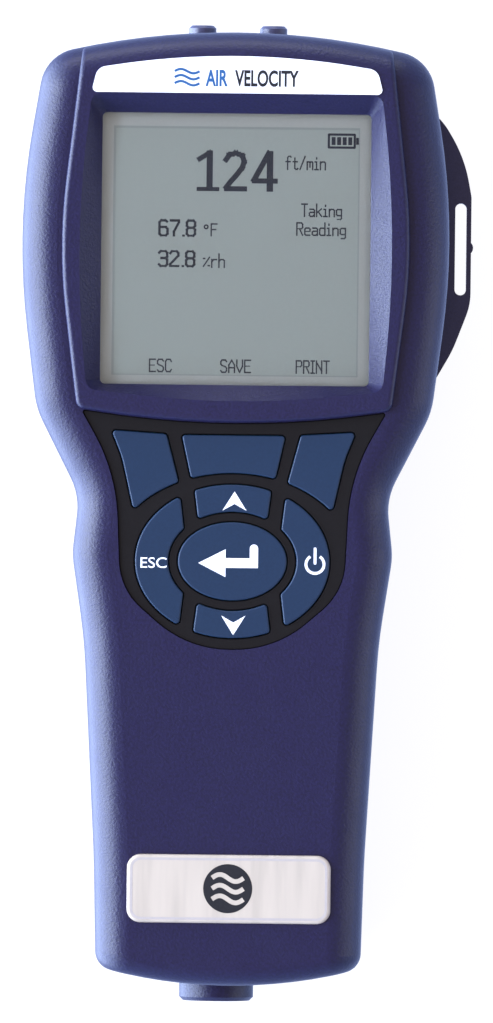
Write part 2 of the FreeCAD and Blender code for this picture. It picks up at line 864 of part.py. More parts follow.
def keypad():
    """The rubber mat, its eight travelling keys and the switches under them."""
    mat = prism(mat_corners(), keyboard_front, mat_front)
    flange = prism(widened(mat_corners(), size("mat_flange")), keyboard_front, wall_back)
    mat = mat.fuse(flange.common(brick(-40, 40, -40, 22.3, 40, 60)))
    domes = []
    for name in key_names():
        mat = mat.cut(footprint(name, size("key_clearance")))
        cap = footprint(name, 0).common(brick(-60, 60, -60, 60, size("key_back"), size("key_front")))
        front = [edge for edge in cap.Edges if edge.BoundBox.ZMin > size("key_front") - 0.001]
        cap = cap.makeFillet(size("key_bevel"), front).Solids[0]
        node(name, shaped(name + "_cap", cap))
        spot = cap.CenterOfMass
        domes.append((spot.x, spot.y))
    mat = max(mat.Solids, key=lambda solid: solid.Volume)
    rims = [edge for edge in mat.Edges if edge.BoundBox.ZMin > mat_front - 0.01]
    mat = mat.makeFillet(size("mat_bevel"), rims).Solids[0]
    node("keypad_mat", shaped("keypad_mat_form", mat))
    discs = []
    for index, (x, y) in enumerate(domes):
        disc = document.addObject("Part::Cone", "dome_%d" % index)
        bind(disc, Radius1="dome_radius", Radius2="dome_radius * 0.6", Height="dome_height")
        bind(disc, base_x="%.3f" % x, base_y="%.3f" % y, base_z="keyboard_front")
        discs.append(disc)
    node("dome_switches", together("dome_set", discs))
    board = mirrored([(8.0, -27.5, 14), (22.0, -15.0, 10), (23.5, 6.0, 10), (23.5, 18.5, 2)])
    level = "keyboard_front - keyboard_thickness"
    node("keypad_board", slab("keypad_board_body", rounded(board), level, "keyboard_thickness"))
    floor = "board_bottom + board_thickness"
    rows = [block("header_%d" % index, ("-10", "10"), (str(y - 2.5), str(y + 2.5)), (floor, level))
            for index, y in enumerate([13.0, -22.0])]
    node("board_headers", together("header_set", rows))


keypad()


# ---------------------------------------------------------------- the main board


def boards():
    """The main board with its chips and screws."""
    outline = mirrored([(26.5, -50.0, 2), (26.5, 8.0, 6), (40.3, 31.0, 6), (40.3, 84.0, 4),
                        (34.0, 92.5, 4)])
    body = slab("main_board_body", rounded(outline), "board_bottom", "board_thickness")
    holes = [post("board_hole_%d" % index, "board_screw_radius + 0.1", str(x), str(y),
                  ("board_bottom - 1", "board_bottom + board_thickness + 1"))
             for index, (x, y) in enumerate(board_screw_places())]
    holes += [post("post_hole_%d" % index, "4", str(x), str(y),
                   ("board_bottom - 1", "board_bottom + board_thickness + 1"))
              for index, (x, y) in enumerate(screw_places()[:2])]
    node("main_board", less("main_board_cut", body, holes))
    chips = [(-20, 40, 12, 12), (6, 46, 16, 10), (22, 28, 8, 8), (-24, 12, 7, 10), (10, -38, 10, 6)]
    packages = [block("chip_%d" % index, (str(x - a / 2), str(x + a / 2)), (str(y - b / 2), str(y + b / 2)),
                      ("board_bottom - 1.4", "board_bottom"))
                for index, (x, y, a, b) in enumerate(chips)]
    node("board_chips", together("chip_set", packages))
    board_top = "board_bottom + board_thickness"
    fixings = []
    for index, (x, y) in enumerate(board_screw_places()):
        head = post("board_screw_head_%d" % index, "board_screw_head", str(x), str(y),
                    ("board_bottom - 1.2", "board_bottom"))
        shank = post("board_screw_shank_%d" % index, "board_screw_radius", str(x), str(y),
                     ("board_bottom", board_top + " + board_screw_length"))
        fixings.append(joined("board_screw_%d" % index, [head, shank]))
    node("board_screws", together("board_screw_set", fixings))


boards()


def case_screws():
    """Four long screws that close the case from the back."""
    fixings = []
    for index, (x, y) in enumerate(screw_places()):
        head = post("case_screw_head_%d" % index, "screw_head", str(x), str(y),
                    ("screw_foot", "screw_seat"))
        shank = post("case_screw_shank_%d" % index, "screw_radius", str(x), str(y),
                     ("screw_seat", "screw_tip"))
        slot_long = block("case_screw_slot_%d" % index, (str(x - 1.8), str(x + 1.8)),
                          (str(y - 0.35), str(y + 0.35)), ("5", "7.2"))
        slot_wide = block("case_screw_cross_%d" % index, (str(x - 0.35), str(x + 0.35)),
                          (str(y - 1.8), str(y + 1.8)), ("5", "7.2"))
        whole = joined("case_screw_%d" % index, [head, shank])
        fixings.append(less("case_screw_drive_%d" % index, whole, [slot_long, slot_wide]))
    node("case_screws", together("case_screw_set", fixings))


case_screws()


# ---------------------------------------------------------------- ports and sockets


def pressure_ports():
    """Two ports in the head's top, joined by short tubes to the pressure sensor."""
    bore = size("port_bore")
    spigot = size("spigot_radius")
    outer = size("port_radius")
    top = size("port_top")
    flange = size("port_shoulder")
    washer = size("washer_radius")
    seat = flange + size("washer_thickness")
    profile = [(bore, 91.0), (spigot, 91.0), (spigot, flange - 2.2), (washer, flange - 2.2),
               (washer, flange), (outer, flange), (outer, top - 0.6), (outer - 0.6, top), (bore, top)]
    for label, side in (("port_left", -1), ("port_right", 1)):
        base = Vector(side * size("port_spread"), 0, size("port_height"))
        body = turned(label + "_body", profile, base)
        node(label, body)
    washers = []
    tubes = []
    for label, side in (("left", -1), ("right", 1)):
        base = Vector(side * size("port_spread"), 0, size("port_height"))
        ring = [(outer, flange), (washer, flange), (washer, seat), (outer, seat)]
        washers.append(turned("washer_" + label, ring, base))
        hose = [(spigot, 82.5), (size("tube_radius"), 82.5), (size("tube_radius"), flange - 2.3),
                (spigot, flange - 2.3)]
        tubes.append(turned("hose_" + label, hose, base))
    node("port_seals", together("washer_set", washers))
    node("sensor_tubes", together("hose_set", tubes))
    can = block("sensor_can", ("-12", "12"), ("68", "82"), ("27.0", "board_bottom"))
    nipples = [turned("nipple_" + label, [(0.6, 78.0), (spigot, 78.0), (spigot, 87.0), (0.6, 87.0)],
                      Vector(side * size("port_spread"), 0, size("port_height")))
               for label, side in (("left", -1), ("right", 1))]
    node("pressure_sensor", joined("sensor_unit", [can] + nipples))


pressure_ports()


def probe_socket():
    """The round probe socket in the handle's end: collar, insert and contacts."""
    outer = size("collar_radius")
    bore = size("collar_bore")
    end = size("collar_end")
    inner_end = size("collar_inner_end")
    flange = size("collar_flange")
    front = size("collar_flange_front")
    back = size("collar_flange_back")
    bevel = size("collar_bevel")
    face = end + size("socket_depth")
    seat = bore - 0.2
    profile = [(bore, end), (outer - bevel, end), (outer, end + bevel), (outer, front), (flange, front),
               (flange, back), (outer, back), (outer, inner_end), (seat, inner_end), (seat, face),
               (bore, face)]
    base = Vector(socket_x, 0, socket_z)
    node("probe_collar", turned("probe_collar_body", profile, base))
    spots = [(0.0, 0.0)]
    for step in range(6):
        angle = math.radians(60 * step + 30)
        spots.append((size("contact_circle") * math.cos(angle), size("contact_circle") * math.sin(angle)))
    disc = rod(seat, socket_x, socket_z, face, inner_end)
    holes = [rod(size("contact_radius"), socket_x + x, socket_z + z, face - 1, inner_end + 1)
             for x, z in spots]
    node("probe_insert", shaped("probe_insert_form", disc.cut(holes)))
    sleeves = []
    for index, (x, z) in enumerate(spots):
        radius = size("contact_radius")
        sleeve = [(0.4, face + 0.3), (radius, face + 0.3), (radius, -90.5), (0.0, -90.5),
                  (0.0, face + 5.0), (0.4, face + 5.0)]
        sleeves.append(turned("contact_%d" % index, sleeve, Vector(socket_x + x, 0, socket_z + z)))
    node("probe_contacts", together("contact_set", sleeves))


probe_socket()


def side_sockets():
    """The data socket and the power jack under the board at the left wall."""
    shell = block("usb_can", ("-44.0", "-34.5"), ("56.0", "64.0"), ("31.8", "board_bottom"))
    mouth = block("usb_mouth", ("-45", "-37.5"), ("56.6", "63.4"), ("32.4", "35.4"))
    tongue = block("usb_tongue", ("-43.2", "-37.0"), ("58.0", "62.0"), ("33.6", "34.2"))
    hollow = less("usb_hollow", shell, [mouth])
    node("usb_socket", joined("usb_unit", [hollow, tongue]))
    jack = block("jack_block", ("-43.4", "-30"), ("72", "81"), ("27.2", "board_bottom"))
    barrel = document.addObject("Part::Cylinder", "jack_barrel")
    barrel.Placement = Placement(Vector(-45, 76.5, 31.6), Rotation(Vector(0, 1, 0), 90))
    bind(barrel, Radius="3.2", Height="11")
    centre = document.addObject("Part::Cylinder", "jack_pin")
    centre.Placement = Placement(Vector(-42.6, 76.5, 31.6), Rotation(Vector(0, 1, 0), 90))
    bind(centre, Radius="1.0", Height="9")
    hollow = less("jack_hollow", jack, [barrel])
    node("power_jack", joined("jack_unit", [hollow, centre]))


side_sockets()


# ---------------------------------------------------------------- batteries


def battery_parts():
    """The cell holder, its four cells, their contacts and the sliding door."""
    low = "cell_floor - 0.4"
    high = "cell_floor + cell_pitch + 2 * cell_radius + 0.3"
    wall = "holder_wall"
    outside = block("holder_outside", ("-holder_half", "holder_half"),
                    ("bay_bottom - " + wall, "bay_top + " + wall), (low, high + " + " + wall))
    inside = block("holder_inside", ("-holder_half + " + wall, "holder_half - " + wall),
                   ("bay_bottom", "bay_top"), ("0", high))
    node("battery_holder", less("holder_form", outside, [inside]))
    radius = size("cell_radius")
    length = size("cell_length")
    nub = size("cell_nub")
    nub_radius = size("cell_nub_radius")
    body_end = length - nub
    profile = [(0, 0), (radius - 0.5, 0), (radius, 0.5), (radius, body_end - 0.5),
               (radius - 0.5, body_end), (nub_radius, body_end), (nub_radius, length), (0, length)]
    cells = []
    springs = []
    plates_set = []
    plate = 0.4
    for level in (0, 1):
        for side in (-1, 1):
            height = size("cell_floor") + radius + level * size("cell_pitch")
            across = side * size("cell_pitch") / 2
            turned_round = (side > 0) == (level > 0)
            tag = "%d_%s" % (level, "right" if side > 0 else "left")
            if turned_round:
                base = Vector(across, size("bay_bottom") + plate + length, height)
                cells.append(turned("cell_" + tag, profile, base, Rotation(Vector(0, 0, 1), 180)))
                foot, bow = size("bay_top") - plate, -1
            else:
                base = Vector(across, size("bay_top") - plate - length, height)
                cells.append(turned("cell_" + tag, profile, base))
                foot, bow = size("bay_bottom") + plate, 1
            gap = size("bay_top") - size("bay_bottom") - 2 * plate - length
            springs.append(leaf("spring_" + tag, across, height, foot, bow * gap))
            for place in (size("bay_bottom"), size("bay_top") - plate):
                name = "contact_plate_%s_%d" % (tag, len(plates_set))
                plates_set.append(block(name, (str(across - 5.5), str(across + 5.5)),
                                        (str(place), str(place + plate)),
                                        (str(height - 5.5), str(height + 5.5))))
    node("battery_cells", together("cell_set", cells))
    node("battery_springs", together("spring_set", springs))
    node("battery_contacts", together("plate_set", plates_set))


def leaf(name, across, height, start, reach):
    """A bowed leaf spring between an end plate and a cell's base; reach is signed along Y."""
    half_width = 2.5
    bow = [(0, -4.0), (reach, -0.5), (reach, 0.5), (0, 4.0), (0, 3.3), (reach * 0.86, 0), (0, -3.3)]
    corners = [Vector(across - half_width, start + along, height + up) for along, up in bow]
    strip = Part.Face(Part.makePolygon(corners + corners[:1]))
    return shaped(name, strip.extrude(Vector(2 * half_width, 0, 0)))


def battery_door():
    """The sliding door: a piece of the case's own form with hooks under the rails."""
    half = size("door_half")
    wall = size("case_wall")
    panel = outer_form.common(brick(-half, half, -115, size("door_top"), -1, wall))
    hooks = []
    tip = wall + size("hook_rise")
    for side in (-1, 1):
        for start in (-78.0, -50.0):
            end = start + size("hook_length")
            inner = sorted((side * size("hook_inner"), side * size("hook_root")))
            outer = sorted((side * size("hook_inner"), side * size("hook_reach")))
            hooks.append(brick(inner[0], inner[1], start, end, wall - 0.1, tip))
            hooks.append(brick(outer[0], outer[1], start, end, wall + size("door_clearance"), tip))
    rib = size("rib_half")
    starts = [size("rib_start") - size("rib_pitch") * step for step in range(5)]
    ribs = [brick(-rib, rib, start, start + 1, -1, size("rib_depth")) for start in starts]
    door = panel.cut(ribs).fuse(hooks).removeSplitter()
    node("battery_door", shaped("battery_door_form", max(door.Solids, key=lambda solid: solid.Volume)))


battery_parts()
battery_door()


# ---------------------------------------------------------------- checks and files


def check_and_write():
    """Recompute, check every object and write one file per sub-part."""
    document.recompute()
    for thing in document.Objects:
        faults = [word for word in thing.State if word in ("Invalid", "Error")]
        if faults:
            raise RuntimeError("%s is %s" % (thing.Label, faults))
    os.makedirs("parts", exist_ok=True)
    for name, thing in nodes.items():
        shape = thing.Shape
        if shape.isNull() or not shape.isValid():
            raise RuntimeError("%s has no valid shape" % name)
        shape.exportStep("parts/%s.step" % name)
        box = shape.BoundBox
        print("%-18s solids %d volume %9.1f  X %.1f %.1f  Y %.1f %.1f  Z %.1f %.1f" % (
            name, len(shape.Solids), shape.Volume, box.XMin, box.XMax, box.YMin, box.YMax,
            box.ZMin, box.ZMax))


check_and_write()
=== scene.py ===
import json
import math

import bpy
from mathutils import Matrix, Vector


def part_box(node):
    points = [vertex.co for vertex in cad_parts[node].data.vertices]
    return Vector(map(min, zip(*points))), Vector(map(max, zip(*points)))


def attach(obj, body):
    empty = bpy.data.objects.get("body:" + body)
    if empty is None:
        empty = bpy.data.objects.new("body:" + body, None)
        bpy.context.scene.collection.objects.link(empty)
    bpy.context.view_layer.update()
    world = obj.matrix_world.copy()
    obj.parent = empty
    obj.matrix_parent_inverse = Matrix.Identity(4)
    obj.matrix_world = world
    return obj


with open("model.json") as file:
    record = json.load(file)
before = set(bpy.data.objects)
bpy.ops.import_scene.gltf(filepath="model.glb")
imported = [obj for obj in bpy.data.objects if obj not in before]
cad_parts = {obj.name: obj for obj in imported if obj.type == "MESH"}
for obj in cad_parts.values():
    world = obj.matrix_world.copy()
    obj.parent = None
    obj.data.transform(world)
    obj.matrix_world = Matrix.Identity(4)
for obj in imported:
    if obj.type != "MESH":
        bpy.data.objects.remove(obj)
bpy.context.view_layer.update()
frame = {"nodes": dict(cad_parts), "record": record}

MM = 0.001
CASE = "case"

# Finishes: how far roughness wanders, and the size of its patches in metres.
GLOSS_SWING = 0.05
GLOSS_PATCH = 0.006
PLATE_GLOSS_PATCH = 0.01
# Width of the painted reflection streaks on the badge, in metres.
REFLECTION_STREAK_WIDTH = 0.004


# ---------------------------------------------------------------- materials


class Finish:
    """A node material built round one Principled shader."""

    def __init__(self, name, base, roughness=0.5, **inputs):
        self.material = bpy.data.materials.new(name)
        self.material.use_nodes = True
        self.tree = self.material.node_tree
        self.shader = self.tree.nodes["Principled BSDF"]
        self.place = self.tree.nodes.new("ShaderNodeTexCoord").outputs["Object"]
        self.shader.inputs["Base Color"].default_value = (*base, 1)
        self.shader.inputs["Roughness"].default_value = roughness
        for label, value in inputs.items():
            self.shader.inputs[label.replace("_", " ")].default_value = value

    def stretched(self, scale):
        """Object coordinates scaled apart along each axis."""
        node = self.tree.nodes.new("ShaderNodeMapping")
        self.tree.links.new(self.place, node.inputs["Vector"])
        node.inputs["Scale"].default_value = scale
        return node.outputs["Vector"]

    def noise(self, size, detail=3.0, roughness=0.5, vector=None):
        """Noise whose blotches are about size metres across."""
        node = self.tree.nodes.new("ShaderNodeTexNoise")
        self.tree.links.new(vector or self.place, node.inputs["Vector"])
        node.inputs["Scale"].default_value = 1.0 / size
        node.inputs["Detail"].default_value = detail
        node.inputs["Roughness"].default_value = roughness
        return node.outputs["Fac"]

    def ramp(self, value, stops):
        """A colour ramp over (position, colour) stops."""
        node = self.tree.nodes.new("ShaderNodeValToRGB")
        self.tree.links.new(value, node.inputs["Fac"])
        ramp = node.color_ramp
        while len(ramp.elements) < len(stops):
            ramp.elements.new(0.5)
        for element, (position, colour) in zip(ramp.elements, stops):
            element.position = position
            element.color = (*colour, 1)
        return node.outputs["Color"]

    def facing(self):
        """How far the surface faces forward, from -1 to 1."""
        parts = self.tree.nodes.new("ShaderNodeSeparateXYZ")
        self.tree.links.new(self.tree.nodes["Texture Coordinate"].outputs["Normal"], parts.inputs[0])
        return parts.outputs["Z"]

    def tinted(self, one, two):
        """The product of two colours."""
        node = self.tree.nodes.new("ShaderNodeMix")
        node.data_type = "RGBA"
        node.blend_type = "MULTIPLY"
        node.inputs["Factor"].default_value = 1.0
        self.tree.links.new(one, node.inputs[6])
        self.tree.links.new(two, node.inputs[7])
        return node.outputs[2]

    def paint(self, colour):
        """Drive the base colour."""
        self.tree.links.new(colour, self.shader.inputs["Base Color"])
        return self

    def gloss(self, value, low, high):
        """Drive the roughness between two limits."""
        node = self.tree.nodes.new("ShaderNodeMapRange")
        self.tree.links.new(value, node.inputs["Value"])
        node.inputs["To Min"].default_value = low
        node.inputs["To Max"].default_value = high
        self.tree.links.new(node.outputs["Result"], self.shader.inputs["Roughness"])
        return self

    def bump(self, value, height, strength=1.0):
        """Raise the surface by up to height metres."""
        node = self.tree.nodes.new("ShaderNodeBump")
        self.tree.links.new(value, node.inputs["Height"])
        node.inputs["Distance"].default_value = height
        node.inputs["Strength"].default_value = strength
        self.tree.links.new(node.outputs["Normal"], self.shader.inputs["Normal"])
        return self


def shade(colour, factor):
    """A colour made lighter or darker."""
    return tuple(channel * factor for channel in colour)


def speckled(name, base, roughness, grain=0.0004, spread=0.12, height=0.00002, **inputs):
    """Moulded plastic or rubber: faint blotches, fine grain and a little bump."""
    finish = Finish(name, base, roughness, **inputs)
    stops = [(0.3, shade(base, 1 - spread)), (0.7, shade(base, 1 + spread))]
    finish.paint(finish.ramp(finish.noise(grain, detail=4.0), stops))
    finish.gloss(finish.noise(GLOSS_PATCH), roughness - GLOSS_SWING, roughness + GLOSS_SWING)
    finish.bump(finish.noise(grain, detail=2.0), height)
    return finish.material


def painted_reflection_plate(name, base, roughness, **inputs):
    """A polished plate with painted reflection streaks across it and a rim darkened by painted shade."""
    finish = Finish(name, base, roughness, **inputs)
    along_the_plate = finish.stretched((1.0, 0.1, 1.0))
    # Painted reflection: noise stretched into faint streaks across the plate.
    painted_reflection_streaks = finish.noise(REFLECTION_STREAK_WIDTH, detail=3.0, roughness=0.6, vector=along_the_plate)
    stops = [(0.35, shade(base, 0.9)), (0.5, base), (0.65, shade(base, 1.05))]
    # Painted shade: the colour darkens where the surface tilts away from the front, on the rounded rim.
    rim_shade_colour = (0.62, 0.59, 0.56)
    rim_shade = finish.ramp(finish.facing(), [(0.3, rim_shade_colour), (0.97, (1.0, 1.0, 1.0))])
    finish.paint(finish.tinted(finish.ramp(painted_reflection_streaks, stops), rim_shade))
    finish.gloss(finish.noise(PLATE_GLOSS_PATCH), roughness - GLOSS_SWING, roughness + GLOSS_SWING)
    return finish.material


def ink(name, colour, spread=0.1):
    """Printing ink: a thin even film with a faint grain."""
    return speckled(name, colour, 0.5, grain=0.0006, spread=spread, height=0.0,
                    Specular_IOR_Level=0.2)


finishes = {
    "case_plastic": speckled("case_plastic", (0.0084, 0.0072, 0.0360), 0.40, grain=0.0006,
                             spread=0.24, height=0.00009, Specular_IOR_Level=0.35),
    "bracket_plastic": speckled("bracket_plastic", (0.022, 0.021, 0.052), 0.42,
                                Specular_IOR_Level=0.4),
    "black_plastic": speckled("black_plastic", (0.012, 0.012, 0.013), 0.5),
    "white_plastic": speckled("white_plastic", (0.72, 0.72, 0.70), 0.5),
    "key_plastic": speckled("key_plastic", (0.0090, 0.0250, 0.055), 0.38, grain=0.0006,
                            spread=0.08, height=0.000006, Specular_IOR_Level=0.3),
    "mat_rubber": speckled("mat_rubber", (0.006, 0.005, 0.005), 0.5, grain=0.0006,
                           spread=0.12, height=0.00001, Specular_IOR_Level=0.17),
    "seal_rubber": speckled("seal_rubber", (0.010, 0.010, 0.010), 0.7),
    "tube_rubber": speckled("tube_rubber", (0.5, 0.5, 0.47), 0.5),
    "lcd_glass": speckled("lcd_glass", (0.492, 0.556, 0.505), 0.5, grain=0.0006,
                          spread=0.02, height=0.0, Specular_IOR_Level=0.1),
    "backlight": speckled("backlight", (0.65, 0.7, 0.65), 0.5),
    "name_face": speckled("name_face", (0.90, 0.90, 0.89), 0.35, grain=0.001, spread=0.01,
                          height=0.0),
    # The badge face carries painted reflection streaks and painted shade on its rim.
    "badge_face": painted_reflection_plate("badge_face", (0.51, 0.44, 0.345), 0.3),
    # A darker tone laid as painted shade along the badge's rim.
    "badge_rim_painted_shade": speckled("badge_rim_painted_shade", (0.43, 0.385, 0.35), 0.35, grain=0.0008,
                           spread=0.04, height=0.0),
    # A lighter copy of the case blue: painted highlight standing in for the light on the two ports.
    "port_painted_highlight": speckled("port_painted_highlight", (0.045, 0.045, 0.095), 0.35),
    "board": speckled("board", (0.01, 0.10, 0.03), 0.4),
    "chip_plastic": speckled("chip_plastic", (0.012, 0.012, 0.012), 0.55),
    "ribbon": speckled("ribbon", (0.5, 0.2, 0.03), 0.4),
    "steel": speckled("steel", (0.45, 0.45, 0.46), 0.35, Metallic=1.0),
    "spring_steel": speckled("spring_steel", (0.6, 0.6, 0.62), 0.25, Metallic=1.0),
    "contact_brass": speckled("contact_brass", (0.7, 0.5, 0.2), 0.3, Metallic=1.0),
    "cell_sleeve": speckled("cell_sleeve", (0.02, 0.02, 0.022), 0.3),
    "label_film": speckled("label_film", (0.6, 0.6, 0.6), 0.5),
    "white_ink": ink("white_ink", (0.88, 0.89, 0.90), spread=0.02),
    "dark_ink": ink("dark_ink", (0.016, 0.016, 0.018)),
    "blue_ink": ink("blue_ink", (0.025, 0.10, 0.24)),
    "lcd_ink": ink("lcd_ink", (0.040, 0.048, 0.070)),
    "lcd_border": ink("lcd_border", (0.56, 0.595, 0.55), spread=0.02),
    "lcd_line": ink("lcd_line", (0.41, 0.465, 0.435), spread=0.02),
}


def window_finish():
    """Thin clear window: seen through, with a faint surface reflection."""
    finish = Finish("window_clear", (1, 1, 1), 0.05)
    tree = finish.tree
    clear = tree.nodes.new("ShaderNodeBsdfTransparent")
    clear.inputs["Color"].default_value = (0.97, 0.98, 0.98, 1)
    mirror = tree.nodes.new("ShaderNodeBsdfGlossy")
    mirror.inputs["Roughness"].default_value = 0.12
    share = tree.nodes.new("ShaderNodeFresnel")
    share.inputs["IOR"].default_value = 1.25
    mix = tree.nodes.new("ShaderNodeMixShader")
    tree.links.new(share.outputs["Fac"], mix.inputs["Fac"])
    tree.links.new(clear.outputs["BSDF"], mix.inputs[1])
    tree.links.new(mirror.outputs["BSDF"], mix.inputs[2])
    tree.links.new(mix.outputs["Shader"], tree.nodes["Material Output"].inputs["Surface"])
    return finish.material


finishes["window_glass"] = window_finish()


def dress_nodes():
    """Give every CAD node the finish of its material slot."""
    for part in frame["record"]["subparts"]:
        node = frame["nodes"][part["node"]]
        node.data.materials.clear()
        slot = part["material_slot"]
        # The two ports take the lighter blue copy, a painted highlight.
        if part["node"] in ("port_left", "port_right"):
            slot = "port_painted_highlight"
        node.data.materials.append(finishes[slot])


dress_nodes()


# ---------------------------------------------------------------- printed artwork


def add_piece(name, mesh, finish, body=CASE):
    """Put a finished mesh in the scene as a piece of one body."""
    piece = bpy.data.objects.new(name, mesh)
    bpy.context.scene.collection.objects.link(piece)
    mesh.materials.clear()
    mesh.materials.append(finishes[finish])
    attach(piece, body)
    return piece


def curve_mesh(curve):
    """The closed mesh of a filled curve, in the curve's own units."""
    holder = bpy.data.objects.new("holder", curve)
    mesh = bpy.data.meshes.new_from_object(holder)
    bpy.data.objects.remove(holder)
    return mesh


def sheet(loops, level, thickness):
    """A thin closed sheet bounded by loops of (x, y), with inner loops as holes."""
    curve = bpy.data.curves.new("outline", "CURVE")
    curve.dimensions = "2D"
    curve.fill_mode = "BOTH"
    curve.extrude = thickness / 2
    for loop in loops:
        spline = curve.splines.new("POLY")
        spline.points.add(len(loop) - 1)
        for point, (x, y) in zip(spline.points, loop):
            point.co = (x, y, 0, 1)
        spline.use_cyclic_u = True
    mesh = curve_mesh(curve)
    mesh.transform(Matrix.Scale(MM, 4) @ Matrix.Translation((0, 0, level + thickness / 2)))
    return mesh


def lettering(words, across, along, level, thickness=0.03, weight=0.0):
    """Words in the plain built-in face, fitted into a box given as two ranges in millimetres."""
    text = bpy.data.curves.new("words", "FONT")
    text.body = words
    text.extrude = thickness / 2
    text.offset = weight
    text.resolution_u = 6
    mesh = curve_mesh(text)
    corners = [vertex.co for vertex in mesh.vertices]
    low = [min(corner[axis] for corner in corners) for axis in (0, 1)]
    high = [max(corner[axis] for corner in corners) for axis in (0, 1)]
    stretch = [(span[1] - span[0]) / (high[axis] - low[axis]) for axis, span in enumerate((across, along))]
    for corner in corners:
        corner.x = MM * (across[0] + (corner.x - low[0]) * stretch[0])
        corner.y = MM * (along[0] + (corner.y - low[1]) * stretch[1])
        corner.z = MM * (level + thickness / 2 + corner.z)
    return mesh


def circle(x, y, radius, count=48):
    """Points round a circle."""
    turns = [2 * math.pi * step / count for step in range(count)]
    return [(x + radius * math.cos(turn), y + radius * math.sin(turn)) for turn in turns]


def oblong(x_low, x_high, y_low, y_high, radius=0.0, steps=6):
    """A rectangle with round corners."""
    if radius == 0:
        return [(x_low, y_low), (x_high, y_low), (x_high, y_high), (x_low, y_high)]
    corners = [(x_high - radius, y_high - radius, 0), (x_low + radius, y_high - radius, 1),
               (x_low + radius, y_low + radius, 2), (x_high - radius, y_low + radius, 3)]
    points = []
    for x, y, quarter in corners:
        for step in range(steps + 1):
            turn = math.pi / 2 * (quarter + step / steps)
            points.append((x + radius * math.cos(turn), y + radius * math.sin(turn)))
    return points


def band(points, width):
    """A strip of one width along a line of points."""
    left = []
    right = []
    for index, point in enumerate(points):
        before = Vector(points[max(index - 1, 0)])
        after = Vector(points[min(index + 1, len(points) - 1)])
        along = (after - before).normalized()
        side = Vector((-along.y, along.x)) * width / 2
        left.append(tuple(Vector(point) + side))
        right.append(tuple(Vector(point) - side))
    return left + right[::-1]


def ripple(x_low, x_high, y, rise, width):
    """A gentle wave between two ends, as a strip."""
    steps = 24
    points = []
    for step in range(steps + 1):
        share = step / steps
        points.append((x_low + (x_high - x_low) * share, y + rise * math.sin(2 * math.pi * share)))
    return band(points, width)


# ---------------------------------------------------------------- the display


